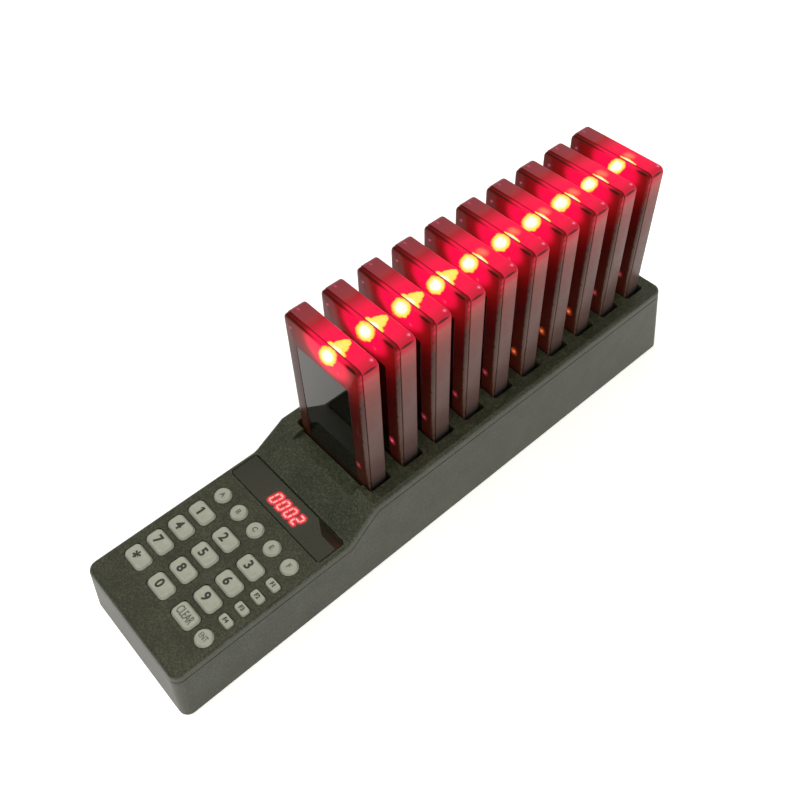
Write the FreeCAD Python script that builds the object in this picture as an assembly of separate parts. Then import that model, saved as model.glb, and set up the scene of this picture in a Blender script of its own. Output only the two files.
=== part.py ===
import FreeCAD, Part
import math
import os

# Counter-top guest pager system: a charging housing with a keypad deck in front, a ramp and a
# raised dock, and ten slim pagers that stand in charging slots and lift out.
# Frame: X to the user's right, Y from the keypad towards the pagers, Z up, in millimetres.
# The origin is on the table under the middle of the housing.

# Housing, outside
base_length = 360.0
base_width = 86.5
wall_draft = 5.0
corner_radius = 5.5
foot_stand = 1.0
deck_height = 35.4
dock_height = 49.0
deck_share = 0.29917
ramp_share = 0.05444
ramp_foot_radius = 4.5
ramp_head_radius = 3.0
rim_radius = 2.4

# Housing, walls and the joint between tray and cover
wall = 2.0
roof = 2.4
tray_floor = 2.6
lip = 5.5
reveal_height = 0.5
reveal_depth = 0.7
tongue_fit = 0.2
tongue_wall = 1.0
tongue_height = 2.0

# Keypad: places across as shares of the housing's width, from its middle, and places along as
# shares of the deck's length, from the foot of the ramp
key_column_share = -0.0555
column_pitch_share = 0.2486
key_row_share = 0.4048
row_pitch_share = 0.1188
letter_centre_share = 0.0104
letter_pitch_share = 0.1653
letter_row_share = 0.2721
function_centre_share = 0.3711
function_row_share = 0.3835
function_pitch_share = 0.0864
function_count = 4
key_gap_x = 6.5
key_gap_y = 3.2
main_cap_radius = 2.0
round_cap_radius = 4.8
function_cap_x = 8.0
function_cap_y = 5.2
function_cap_radius = 1.2
cap_stand = 1.4
cap_edge = 0.5
key_clearance = 0.3
key_travel = 1.0
lug_reach = 0.7
lug_thickness = 1.0
lug_gap = 0.1
lug_share = 0.7
stem_board_gap = 0.4
stem_side = 3.6
stem_length = 2.4
stem_clearance = 0.25
mat_thickness = 2.0
mat_margin = 1.0

# Display, its places along given as those of the keypad are
window_side_gap = 5.65
window_front_share = 0.1625
window_back_share = 0.0023
window_thickness = 1.6
window_radius = 2.0
window_clearance = 0.2
module_x = 1.9
module_row_share = 0.0882
module_size_x = 28.0
module_size_y = 10.0
module_clearance = 0.5
module_gap = 0.3

# Pagers and their slots
pager_count = 10
dock_front_gap = 4.9
dock_back_gap = 13.4
pager_side_air = 3.5
pager_thickness = 12.8
pager_height = 110.0
pager_depth_in_dock = 23.3
pager_radius = 3.5
front_thickness = 3.0
front_edge = 1.0
back_edge = 2.0
case_wall = 1.6
front_wall = 1.4
seam_step = 0.3
label_side = 8.0
label_low = 22.0
label_high = 92.5
label_depth = 0.3
slot_side_gap = 12.25
slot_gap = 0.8
slot_radius = 1.5
slot_mouth_depth = 8.0
guide_gap = 0.4
well_wall = 1.6
well_floor = 2.0
notch_side = 3.0
notch_depth = 2.6
notch_floor = 2.0
seat_gap = 0.2

# Pager works
works_gap = 0.3
works_board = 1.0
works_board_back_y = 6.0
works_board_low = 6.0
works_board_high = 107.5
battery_width = 34.0
battery_height = 50.0
battery_thickness = 4.6
battery_low = 14.0
motor_width = 12.0
motor_side = 4.6
motor_x = -12.0
motor_low = 74.0
lamp_x = 8.0
lamp_side = 3.0
lamp_height = 1.4
lamp_low = 104.5
indicator_gap = 1.5
indicator_side = 1.6
indicator_low = 37.5
pad_x = 12.0
pad_side = 3.8
pad_recess = 1.0
pad_top = 9.0
pad_fit = 0.2

# Boards, charging pins and the power inlet
board_thickness = 1.6
board_boss_gap = 1.4
key_board_back_share = 0.0204
charge_board_half_x = 18.0
charge_board_front_gap = 2.7
charge_board_back_gap = 5.0
charge_board_drop = 6.5
pin_radius = 1.2
pin_rise = 0.8
pin_fit = 0.4
jack_width = 9.0
jack_height = 11.0
jack_length = 14.0
jack_wall_gap = 0.3
jack_bore_radius = 3.2
jack_bore_depth = 9.5
jack_pin_radius = 1.0
jack_pin_setback = 1.5
inlet_radius = 4.6
post_radius = 3.0
peg_radius = 1.2
peg_fit = 0.1

# Feet and screws
foot_radius = 7.0
foot_height = 2.0
foot_fit = 0.25
foot_side_gap = 12.25
foot_end_gap = 30.0
screw_side_gap = 13.25
screw_end_gap = 12.0
screw_dock_side_gap = 17.25
boss_radius = 4.4
boss_split_height = 12.0
screw_head_radius = 2.8
screw_head_height = 1.8
screw_shank_radius = 1.4
screw_shank_length = 11.0
screw_fit = 0.05
screw_hole_fit = 0.3
screw_sink = 5.0
pilot_spare = 0.5
drive_radius = 1.2
drive_depth = 1.0

# One overrun for every cut that must pass a face, and how near its place an edge is looked for
overrun = 1.0
edge_reach = 1.0

# Small repeated pieces have their round stretches in straight steps: per quarter, and per circle
corner_steps = 3
hidden_steps = 2
cap_steps = 2
cap_sides = 14
foot_sides = 12
screw_sides = 12
post_sides = 8
pin_sides = 6

# Places along
deck_length = deck_share * base_length
ramp_foot_y = deck_length - base_length / 2
ramp_head_y = ramp_foot_y + ramp_share * base_length
first_pager_y = ramp_head_y + dock_front_gap
last_pager_y = base_length / 2 - dock_back_gap - pager_thickness
pager_pitch = (last_pager_y - first_pager_y) / (pager_count - 1)
key_row_y = ramp_foot_y - key_row_share * deck_length
key_row_pitch = row_pitch_share * deck_length
letter_row_y = ramp_foot_y - letter_row_share * deck_length
function_y = ramp_foot_y - function_row_share * deck_length
function_pitch = function_pitch_share * deck_length
window_front_y = ramp_foot_y - window_front_share * deck_length
window_back_y = ramp_foot_y - window_back_share * deck_length
module_y = ramp_foot_y - module_row_share * deck_length
foot_y = base_length / 2 - foot_end_gap
screw_front_y = screw_end_gap - base_length / 2
key_board_front_y = screw_front_y + boss_radius + board_boss_gap
key_board_back_y = ramp_foot_y - key_board_back_share * deck_length
charge_board_front_y = ramp_head_y + charge_board_front_gap
charge_board_back_y = base_length / 2 - charge_board_back_gap

# Places and widths across
key_column_x = key_column_share * base_width
key_column_pitch = column_pitch_share * base_width
letter_centre_x = letter_centre_share * base_width
letter_pitch = letter_pitch_share * base_width
function_x = function_centre_share * base_width
main_cap_x = key_column_pitch - key_gap_x
main_cap_y = key_row_pitch - key_gap_y
window_half_x = base_width / 2 - window_side_gap
slot_width = base_width - 2 * slot_side_gap
pager_width = slot_width - 2 * pager_side_air
label_width = pager_width - 2 * label_side
indicator_x = label_width / 2 + indicator_gap
notch_half_x = pager_width / 2 - notch_side
key_board_half_x = function_x + function_cap_x / 2
foot_x = base_width / 2 - foot_side_gap
screw_x = base_width / 2 - screw_side_gap
screw_dock_x = base_width / 2 - screw_dock_side_gap

# Heights
deck_underside = deck_height - roof
lug_top = deck_underside - lug_gap
lug_bottom = lug_top - lug_thickness
stem_bottom = lug_bottom - stem_length
key_board_top = stem_bottom - key_travel - stem_board_gap
mat_top = key_board_top + mat_thickness
pager_bottom = dock_height - pager_depth_in_dock
well_floor_top = pager_bottom - seat_gap
well_bottom = well_floor_top - well_floor
notch_bottom = dock_height - notch_depth
charge_board_top = well_bottom - charge_board_drop
tray_floor_top = foot_stand + tray_floor
ramp_angle = math.atan2(dock_height - deck_height, ramp_head_y - ramp_foot_y)


def box(low, high):
    size = high.sub(low)
    return Part.makeBox(size.x, size.y, size.z, low)


def point(x, y, z):
    return FreeCAD.Vector(x, y, z)


def prism(corners, x, y, z_low, z_high):
    """An upright block on the outline through the corners, moved to x and y."""
    wire = Part.makePolygon([point(x + a, y + b, z_low) for a, b in corners + corners[:1]])
    return Part.Face(wire).extrude(point(0, 0, z_high - z_low))


def circle_corners(radius, sides):
    turns = [2 * math.pi * (side + 1 / 2) / sides for side in range(sides)]
    return [(radius * math.cos(turn), radius * math.sin(turn)) for turn in turns]


def stepped_corners(half_x, half_y, radius, steps):
    """A rectangle's outline with each round corner in straight steps."""
    corners = []
    for quarter, (sign_x, sign_y) in enumerate(((1, 1), (-1, 1), (-1, -1), (1, -1))):
        for step in range(steps + 1):
            turn = math.pi / 2 * (quarter + step / steps)
            x = sign_x * (half_x - radius) + radius * math.cos(turn)
            y = sign_y * (half_y - radius) + radius * math.sin(turn)
            corners.append((x, y))
    return corners


def upright(radius, x, y, z_low, z_high, sides=post_sides):
    return prism(circle_corners(radius, sides), x, y, z_low, z_high)


def stepped_block(size_x, size_y, radius, x, y, z_low, z_high, steps=cap_steps):
    return prism(stepped_corners(size_x / 2, size_y / 2, radius, steps), x, y, z_low, z_high)


# Housing form

def drafted_block(inset, z_low, z_high, outline):
    """A block with flat walls that lean in by the draft, on outlines drawn in by inset."""
    rings = []
    for z in (z_low, z_high):
        shrink = inset + (z - foot_stand) * math.tan(math.radians(wall_draft))
        corners = outline(base_width / 2 - shrink, base_length / 2 - shrink)
        rings.append([point(x, y, z) for x, y in corners])
    low, high = rings
    loops = [low, high]
    for this in range(len(low)):
        last = this - 1
        loops.append([low[last], low[this], high[this], high[last]])
    faces = [Part.Face(Part.makePolygon(loop + loop[:1])) for loop in loops]
    return Part.Solid(Part.Shell(faces))


def tapered_block(inset, z_low, z_high):
    """The housing drawn in by inset, for hidden faces, so its round corners are in straight steps."""
    def outline(half_x, half_y):
        return stepped_corners(half_x, half_y, corner_radius - inset, hidden_steps)
    return drafted_block(inset, z_low, z_high, outline)


def square_block():
    """The housing's drafted outside before its corners are rounded."""
    def outline(half_x, half_y):
        return [(half_x, half_y), (-half_x, half_y), (-half_x, -half_y), (half_x, -half_y)]
    return drafted_block(0, foot_stand, dock_height + overrun, outline)


def under_profile(drop, rounded=False):
    """Everything below the deck, ramp and dock line, lowered square to each face by drop."""
    shift = drop * math.tan(ramp_angle / 2)
    far = base_length / 2 + overrun
    foot = point(-base_width, ramp_foot_y + shift, deck_height - drop)
    head = point(-base_width, ramp_head_y + shift, dock_height - drop)
    corners = [
        point(-base_width, -far, 0),
        point(-base_width, -far, deck_height - drop),
        foot,
        head,
        point(-base_width, far, dock_height - drop),
        point(-base_width, far, 0),
    ]
    form = Part.Face(Part.makePolygon(corners + corners[:1])).extrude(point(2 * base_width, 0, 0))
    if rounded:
        form = form.makeFillet(ramp_foot_radius, [edge_along_x(form, foot)])
        form = form.makeFillet(ramp_head_radius, [edge_along_x(form, head)])
    return form


def edge_along_x(form, start):
    """The edge that runs along X through the profile's corner."""
    middle = point(0, start.y, start.z)
    return min(form.Edges, key=lambda edge: edge.CenterOfMass.distanceToPoint(middle))


def top_height(y):
    slope = (y - ramp_foot_y) * math.tan(ramp_angle)
    return min(dock_height, deck_height + max(0, slope))


def outer_form():
    form = square_block().common(under_profile(0, True))
    corners = [edge for edge in form.Edges if edge.BoundBox.ZLength > deck_height / 2]
    form = form.makeFillet(corner_radius, corners)
    rim = []
    for edge in form.Edges:
        middle = edge.valueAt((edge.FirstParameter + edge.LastParameter) / 2)
        near_top = middle.z > top_height(middle.y) - edge_reach
        runs_across = abs(edge.Vertexes[0].X + edge.Vertexes[-1].X) < edge_reach
        at_end = abs(middle.y) > base_length / 2 - corner_radius
        if near_top and (at_end or not runs_across):
            rim.append(edge)
    return form.makeFillet(rim_radius, rim)


def slot_y(index):
    return first_pager_y + index * pager_pitch + pager_thickness / 2


def pin_y(index):
    return first_pager_y + index * pager_pitch + (front_thickness + pager_thickness) / 2


# Places of the keys: name, cap kind and centre

def key_table():
    keys = []
    names = [["1", "2", "3"], ["4", "5", "6"], ["7", "8", "9"], ["star", "0", "clear"]]
    for row, line in enumerate(names):
        for column, name in enumerate(line):
            x = key_column_x + (column - 1) * key_column_pitch
            keys.append((name, "main", x, key_row_y - row * key_row_pitch))
    letters = ["a", "b", "c", "e", "f"]
    for column, name in enumerate(letters):
        x = letter_centre_x + (column - len(letters) // 2) * letter_pitch
        keys.append((name, "round", x, letter_row_y))
    for row in range(function_count):
        name = "f%d" % (row + 1)
        keys.append((name, "function", function_x, function_y - row * function_pitch))
    enter_y = key_row_y - (len(names) - 1) * key_row_pitch
    keys.append(("enter", "round", function_x, enter_y))
    return keys


def cap_size(kind):
    if kind == "main":
        return main_cap_x, main_cap_y, main_cap_radius
    if kind == "function":
        return function_cap_x, function_cap_y, function_cap_radius
    return 2 * round_cap_radius, 2 * round_cap_radius, round_cap_radius


def cap_block(kind, grow, x, y, z_low, z_high):
    size_x, size_y, radius = cap_size(kind)
    if kind == "round":
        return upright(radius + grow, x, y, z_low, z_high, cap_sides)
    return stepped_block(size_x + 2 * grow, size_y + 2 * grow, radius + grow, x, y, z_low, z_high)


def key(kind, x, y):
    """A cap with a softened top edge, two retaining lugs under the deck and a square stem."""
    size_x, size_y, radius = cap_size(kind)
    top = deck_height + cap_stand
    cap = cap_block(kind, 0, x, y, lug_bottom, top)
    rim = [edge for edge in cap.Edges if abs(edge.BoundBox.ZMin - top) < edge_reach]
    cap = cap.makeChamfer(cap_edge, rim)
    half_x = size_x * lug_share / 2
    half_y = size_y / 2 + lug_reach
    lugs = box(point(x - half_x, y - half_y, lug_bottom), point(x + half_x, y + half_y, lug_top))
    half = stem_side / 2
    stem = box(point(x - half, y - half, stem_bottom), point(x + half, y + half, lug_bottom))
    return cap.fuse([lugs, stem]).removeSplitter()


# Cover

def cover_bosses():
    bosses = []
    for x, y, seat in boss_places():
        bosses.append(upright(boss_radius, x, y, boss_split_height, seat))
    return bosses


def boss_places():
    """Screw places: two ahead of the keypad, four under the dock's second and last but one wells."""
    places = [(x, screw_front_y, deck_underside) for x in (-screw_x, screw_x)]
    for index in (1, pager_count - 2):
        for x in (-screw_dock_x, screw_dock_x):
            places.append((x, slot_y(index), well_bottom))
    return places


def screw_pilots():
    radius = screw_shank_radius + screw_fit
    top = boss_split_height + screw_shank_length - screw_grip() + pilot_spare
    return [upright(radius, x, y, boss_split_height, top, pin_sides) for x, y, seat in boss_places()]


def screw_grip():
    """Length of the shank that lies in the tray's boss."""
    return boss_split_height - foot_stand - screw_sink


def slot_cuts(index):
    y = slot_y(index)
    mouth_low = dock_height - slot_mouth_depth
    mouth = stepped_block(slot_width, pager_thickness + 2 * slot_gap, slot_radius,
                          0, y, mouth_low, dock_height + overrun)
    half_x = pager_width / 2 + guide_gap
    half_y = pager_thickness / 2 + guide_gap
    guide = box(point(-half_x, y - half_y, well_floor_top), point(half_x, y + half_y, mouth_low))
    half = pin_radius + pin_fit
    holes = [box(point(x - half, pin_y(index) - half, well_bottom),
                 point(x + half, pin_y(index) + half, well_floor_top)) for x in (-pad_x, pad_x)]
    return [mouth, guide] + holes


def well_blocks(index):
    y = slot_y(index)
    shelf = dock_height - slot_mouth_depth - well_wall
    half_x = slot_width / 2 + well_wall
    half_y = pager_thickness / 2 + slot_gap + well_wall
    mouth = box(point(-half_x, y - half_y, shelf), point(half_x, y + half_y, dock_height - roof))
    half_x = pager_width / 2 + guide_gap + well_wall
    half_y = pager_thickness / 2 + guide_gap + well_wall
    guide = box(point(-half_x, y - half_y, well_bottom), point(half_x, y + half_y, shelf))
    return [mouth, guide]


def notch_block(grow, z_low, z_high):
    """Finger notch across the ramp's head, from before the ramp to the middle of the first slot."""
    half_x = notch_half_x + grow
    return box(point(-half_x, ramp_foot_y, z_low), point(half_x, slot_y(0), z_high))


def top_cover(form):
    """Deck, ramp and dock in one moulding, with a lip, a tongue, a notch, ten wells and bosses."""
    inner_wall = wall + tongue_fit + tongue_wall
    seam = under_profile(lip)
    shell = form.cut(seam)
    band = seam.cut(under_profile(lip + tongue_height))
    tongue = tapered_block(wall + tongue_fit, foot_stand, dock_height).common(band)
    hollow = tapered_block(inner_wall, foot_stand, dock_height).common(under_profile(roof))
    shell = shell.fuse(tongue).cut(hollow)
    reveal = form.cut(tapered_block(reveal_depth, foot_stand, dock_height))
    reveal = reveal.common(under_profile(lip - reveal_height).cut(seam))
    wells = [block for index in range(pager_count) for block in well_blocks(index)]
    under_notch = notch_block(well_wall, notch_bottom - notch_floor, dock_height)
    under_notch = under_notch.common(under_profile(roof / 2))
    shell = shell.cut(reveal).fuse(wells + cover_bosses() + [under_notch]).removeSplitter()
    cuts = screw_pilots() + [notch_block(0, notch_bottom, dock_height + overrun)]
    for index in range(pager_count):
        cuts += slot_cuts(index)
    for name, kind, x, y in key_table():
        cuts.append(cap_block(kind, key_clearance, x, y, deck_underside - overrun, deck_height + overrun))
    cuts += window_cuts()
    return shell.cut(cuts)


# Display

def window_block(grow, z_low, z_high):
    size_y = window_back_y - window_front_y
    return stepped_block(2 * (window_half_x + grow), size_y + 2 * grow, window_radius + grow,
                         0, (window_front_y + window_back_y) / 2, z_low, z_high, corner_steps)


def window_cuts():
    recess = window_block(window_clearance, deck_height - window_thickness, deck_height + overrun)
    half_x = module_size_x / 2 + module_clearance
    half_y = module_size_y / 2 + module_clearance
    opening = box(point(module_x - half_x, module_y - half_y, deck_underside - overrun),
                  point(module_x + half_x, module_y + half_y, deck_height))
    return [recess, opening]


def display_window():
    return window_block(0, deck_height - window_thickness, deck_height)


# Tray

def board_posts():
    """Posts under both boards: x, y and the board's underside."""
    posts = []
    under_keys = key_board_top - board_thickness
    under_charge = charge_board_top - board_thickness
    inset = 2 * post_radius
    for x in (inset - key_board_half_x, key_board_half_x - inset):
        for y in (key_board_front_y + inset, key_board_back_y - inset):
            posts.append((x, y, under_keys))
    last = pager_count - 1
    for x in (post_radius - charge_board_half_x, charge_board_half_x - post_radius):
        for index in (0, last - 1):
            posts.append((x, slot_y(index) + pager_pitch / 2, under_charge))
    return posts


def base_tray(form):
    """Open tray with a drafted wall, board posts, screw bosses, foot recesses and the inlet hole."""
    hollow = tapered_block(wall, foot_stand, dock_height).common(
        box(point(-base_width, -base_length, tray_floor_top), point(base_width, base_length, dock_height)))
    tray = form.common(under_profile(lip)).cut(hollow)
    added = []
    for x, y, top in board_posts():
        added.append(upright(post_radius, x, y, foot_stand + tray_floor / 2, top))
        added.append(upright(peg_radius, x, y, top, top + board_thickness, pin_sides))
    for x, y, seat in boss_places():
        added.append(upright(boss_radius, x, y, foot_stand + tray_floor / 2, boss_split_height))
    tray = tray.fuse(added)
    cuts = []
    for x, y, seat in boss_places():
        shelf = foot_stand + screw_sink
        head_hole = screw_head_radius + screw_hole_fit
        cuts.append(upright(head_hole, x, y, foot_stand - overrun, shelf, screw_sides))
        cuts.append(upright(screw_shank_radius + screw_hole_fit, x, y, shelf, boss_split_height))
    for x, y in foot_places():
        cuts.append(upright(foot_radius + foot_fit, x, y, 0, foot_height, foot_sides))
    inlet = lying(inlet_radius, charge_board_back_y, base_length / 2 + overrun)
    return tray.cut(cuts + [inlet]).removeSplitter()


def foot_places():
    return [(x, y) for x in (-foot_x, foot_x) for y in (-foot_y, foot_y)]


def rubber_feet():
    return [upright(foot_radius, x, y, 0, foot_height, foot_sides) for x, y in foot_places()]


def housing_screws():
    screws = []
    shelf = foot_stand + screw_sink
    for x, y, seat in boss_places():
        head = upright(screw_head_radius, x, y, shelf - screw_head_height, shelf, screw_sides)
        shank = upright(screw_shank_radius, x, y, shelf, shelf + screw_shank_length, pin_sides)
        drive = upright(drive_radius, x, y, shelf - screw_head_height - overrun,
                        shelf - screw_head_height + drive_depth, pin_sides)
        screws.append(head.fuse(shank).cut(drive))
    return screws


# Boards and contacts

def keypad_mat():
    back_y = letter_row_y + round_cap_radius + mat_margin
    front_y = key_board_front_y + mat_margin
    half_x = key_board_half_x - mat_margin
    mat = box(point(-half_x, front_y, key_board_top), point(half_x, back_y, mat_top))
    half = stem_side / 2 + stem_clearance
    holes = [box(point(x - half, y - half, key_board_top), point(x + half, y + half, mat_top))
             for name, kind, x, y in key_table()]
    return mat.cut(holes)


def jack_axis_z():
    return charge_board_top - board_thickness - jack_height / 2


def lying(radius, y_low, y_high):
    """A round bar on the inlet's axis, from front to back."""
    bar = upright(radius, 0, 0, 0, y_high - y_low, foot_sides)
    bar.rotate(point(0, 0, 0), point(1, 0, 0), -90)
    bar.translate(point(0, y_low, jack_axis_z()))
    return bar


def power_jack():
    """The inlet's body hangs under the charging board, its mouth just inside the rear wall."""
    axis_z = jack_axis_z()
    draft = (axis_z + jack_height / 2 - foot_stand) * math.tan(math.radians(wall_draft))
    mouth_y = base_length / 2 - draft - wall - jack_wall_gap
    half = jack_width / 2
    body = box(point(-half, mouth_y - jack_length, axis_z - jack_height / 2),
               point(half, mouth_y, axis_z + jack_height / 2))
    bore = lying(jack_bore_radius, mouth_y - jack_bore_depth, mouth_y + overrun)
    pin = lying(jack_pin_radius, mouth_y - jack_bore_depth, mouth_y - jack_pin_setback)
    return body.cut(bore).fuse(pin)


def circuit_boards():
    """Keypad board with the display module, and the charging board with the power inlet."""
    key_board = box(point(-key_board_half_x, key_board_front_y, key_board_top - board_thickness),
                    point(key_board_half_x, key_board_back_y, key_board_top))
    charge_board = box(
        point(-charge_board_half_x, charge_board_front_y, charge_board_top - board_thickness),
        point(charge_board_half_x, charge_board_back_y, charge_board_top))
    holes = [upright(peg_radius + peg_fit, x, y, top, top + board_thickness, pin_sides)
             for x, y, top in board_posts()]
    module = box(
        point(module_x - module_size_x / 2, module_y - module_size_y / 2, key_board_top),
        point(module_x + module_size_x / 2, module_y + module_size_y / 2,
              deck_height - window_thickness - module_gap))
    return [key_board.cut(holes), charge_board.cut(holes), module, power_jack()]


def charge_pins():
    pins = []
    tip = pager_bottom + pin_rise
    for index in range(pager_count):
        for x in (-pad_x, pad_x):
            pins.append(upright(pin_radius, x, pin_y(index), charge_board_top, tip, pin_sides))
    return pins


# Pager, drawn at the origin: X across, Y from its front face backwards, Z up from its foot

def pager_slab(inset, y_low, y_high):
    """The pager's outline between two depths, drawn in by inset."""
    slab = stepped_block(pager_width - 2 * inset, pager_height - 2 * inset, pager_radius - inset,
                         0, 0, 0, y_high - y_low, corner_steps)
    slab.rotate(point(0, 0, 0), point(1, 0, 0), 90)
    slab.translate(point(0, y_high, pager_height / 2))
    return slab


def softened(slab, y, size):
    rim = [edge for edge in slab.Edges
           if abs(edge.BoundBox.YMin - y) < edge_reach and abs(edge.BoundBox.YMax - y) < edge_reach]
    return slab.makeChamfer(size, rim)


def pager_cavity(y_low, y_high):
    half = pager_width / 2 - case_wall
    return box(point(-half, y_low, case_wall), point(half, y_high, pager_height - case_wall))


def pager_front():
    """Shallow front shell, a step smaller than the rear case, with a recess for its label."""
    shell = softened(pager_slab(seam_step, 0, front_thickness), 0, front_edge)
    half = label_width / 2
    label = box(point(-half, 0, label_low), point(half, label_depth, label_high))
    return shell.cut([pager_cavity(front_wall, front_thickness), label])


def pager_rear():
    """Deep rear case with two contact holes in its foot."""
    body = softened(pager_slab(0, front_thickness, pager_thickness), pager_thickness, back_edge)
    case = body.cut(pager_cavity(front_thickness, pager_thickness - case_wall))
    grow = pad_fit
    holes = [box(point(x - pad_side / 2 - grow, works_board_back_y - grow, 0),
                 point(x + pad_side / 2 + grow, works_board_back_y + pad_side + grow, case_wall))
             for x in (-pad_x, pad_x)]
    return case.cut(holes)


def pager_works():
    """Board, battery, vibration motor, lamp, indicator and two contact pads."""
    half = pager_width / 2 - case_wall - works_gap
    back = works_board_back_y
    front = back - works_board
    board = box(point(-half, front, works_board_low), point(half, back, works_board_high))
    battery = box(point(-battery_width / 2, back, battery_low),
                  point(battery_width / 2, back + battery_thickness, battery_low + battery_height))
    motor = box(point(motor_x - motor_width / 2, back, motor_low),
                point(motor_x + motor_width / 2, back + motor_side, motor_low + motor_side))
    parts = [board, battery, motor]
    parts.append(box(point(lamp_x - lamp_side / 2, front - lamp_height, lamp_low),
                     point(lamp_x + lamp_side / 2, front, lamp_low + lamp_side)))
    parts.append(box(point(indicator_x - indicator_side / 2, front - lamp_height, indicator_low),
                     point(indicator_x + indicator_side / 2, front, indicator_low + indicator_side)))
    for x in (-pad_x, pad_x):
        parts.append(box(point(x - pad_side / 2, back, pad_recess),
                         point(x + pad_side / 2, back + pad_side, pad_top)))
    return parts


def placed(shape, index):
    copy = shape.copy()
    copy.translate(point(0, first_pager_y + index * pager_pitch, pager_bottom))
    return copy


def export(name, solids):
    Part.makeCompound(solids).exportStep("parts/%s.step" % name)


def main():
    os.makedirs("parts", exist_ok=True)
    form = outer_form()
    export("base_tray", base_tray(form).Solids)
    export("top_cover", top_cover(form).Solids)
    export("display_window", [display_window()])
    export("keypad_mat", keypad_mat().Solids)
    export("circuit_boards", circuit_boards())
    export("charge_pins", charge_pins())
    export("rubber_feet", rubber_feet())
    export("housing_screws", housing_screws())
    for name, kind, x, y in key_table():
        export("key_" + name, key(kind, x, y).Solids)
    front = pager_front()
    rear = pager_rear()
    works = Part.makeCompound(pager_works())
    for index in range(pager_count):
        number = index + 1
        export("pager_%d_front" % number, placed(front, index).Solids)
        export("pager_%d_rear" % number, placed(rear, index).Solids)
        export("pager_%d_works" % number, placed(works, index).Solids)


main()
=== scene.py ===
import math

import bmesh
import bpy
from mathutils import Matrix, Vector

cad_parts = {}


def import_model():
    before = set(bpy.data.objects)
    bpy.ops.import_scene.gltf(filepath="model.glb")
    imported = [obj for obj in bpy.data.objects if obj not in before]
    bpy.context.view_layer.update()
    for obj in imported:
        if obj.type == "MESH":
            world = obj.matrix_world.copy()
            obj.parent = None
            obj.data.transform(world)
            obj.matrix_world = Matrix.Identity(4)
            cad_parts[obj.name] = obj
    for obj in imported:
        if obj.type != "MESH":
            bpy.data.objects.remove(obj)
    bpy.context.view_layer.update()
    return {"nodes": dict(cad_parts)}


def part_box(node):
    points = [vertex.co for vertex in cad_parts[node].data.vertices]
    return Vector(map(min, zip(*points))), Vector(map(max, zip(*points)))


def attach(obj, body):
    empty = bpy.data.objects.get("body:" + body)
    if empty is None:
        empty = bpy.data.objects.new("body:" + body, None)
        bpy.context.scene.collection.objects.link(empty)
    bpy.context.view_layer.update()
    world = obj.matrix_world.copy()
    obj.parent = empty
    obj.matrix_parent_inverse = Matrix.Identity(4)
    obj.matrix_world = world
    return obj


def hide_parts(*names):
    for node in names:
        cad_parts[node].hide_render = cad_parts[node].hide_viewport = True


# Guest pager system: looks for a keypad and charging station with ten slim pagers.
# Lengths named _MM are in millimetres, and everything handed to Blender is in metres.
# X is to the user's right, Y runs from the keypad to the pagers, Z is up.

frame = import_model()

MM = 0.001
IMAGE_SIDE = 800  # pixels


def linear(hex_colour):
    """An sRGB hex colour as linear red, green, blue and an alpha of 1."""
    parts = [int(hex_colour[i:i + 2], 16) / 255 for i in (1, 3, 5)]
    return [p / 12.92 if p <= 0.04045 else ((p + 0.055) / 1.055) ** 2.4 for p in parts] + [1.0]


def add(tree, kind, sockets=None, stops=None, **settings):
    """Adds a node with its settings, its colour stops and what its sockets hold or are linked to."""
    made = tree.nodes.new(kind)
    for name, value in settings.items():
        setattr(made, name, value)
    if stops:
        points = made.color_ramp.elements
        while len(points) > 1:
            points.remove(points[-1])
        points[0].position, points[0].color = stops[0][0], linear(stops[0][1])
        for at, colour in stops[1:]:
            points.new(at).color = linear(colour)
    for name, value in (sockets or {}).items():
        if isinstance(value, bpy.types.NodeSocket):
            tree.links.new(value, made.inputs[name])
        else:
            made.inputs[name].default_value = value
    return made


def new_material(name):
    """A material without nodes, its node tree, and the place on the piece in metres."""
    material = bpy.data.materials.new(name)
    material.use_nodes = True
    material.node_tree.nodes.clear()
    place = add(material.node_tree, "ShaderNodeTexCoord").outputs["Object"]
    return material, material.node_tree, place


def surface(tree, sockets):
    """The shader with what its sockets hold, and the material's output."""
    shader = add(tree, "ShaderNodeBsdfPrincipled", sockets)
    add(tree, "ShaderNodeOutputMaterial", {"Surface": shader.outputs["BSDF"]})


def pattern_scale(size_mm):
    """The scale at which a pattern's grains are about size_mm wide."""
    return 1 / (size_mm * MM)


# Nearly all of a noise lies between these two.
NOISE_LOW = 0.3
NOISE_HIGH = 0.7


def mottle(tree, place, grain_mm, detail, dark, light):
    """A noise with grains of grain_mm, and the colour that it gives between a dark and a light one."""
    noise = add(tree, "ShaderNodeTexNoise",
                {"Vector": place, "Scale": pattern_scale(grain_mm), "Detail": detail}).outputs["Fac"]
    colour = add(tree, "ShaderNodeValToRGB", {"Fac": noise}, [(NOISE_LOW, dark), (NOISE_HIGH, light)])
    return noise, colour.outputs["Color"]


# Materials

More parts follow.
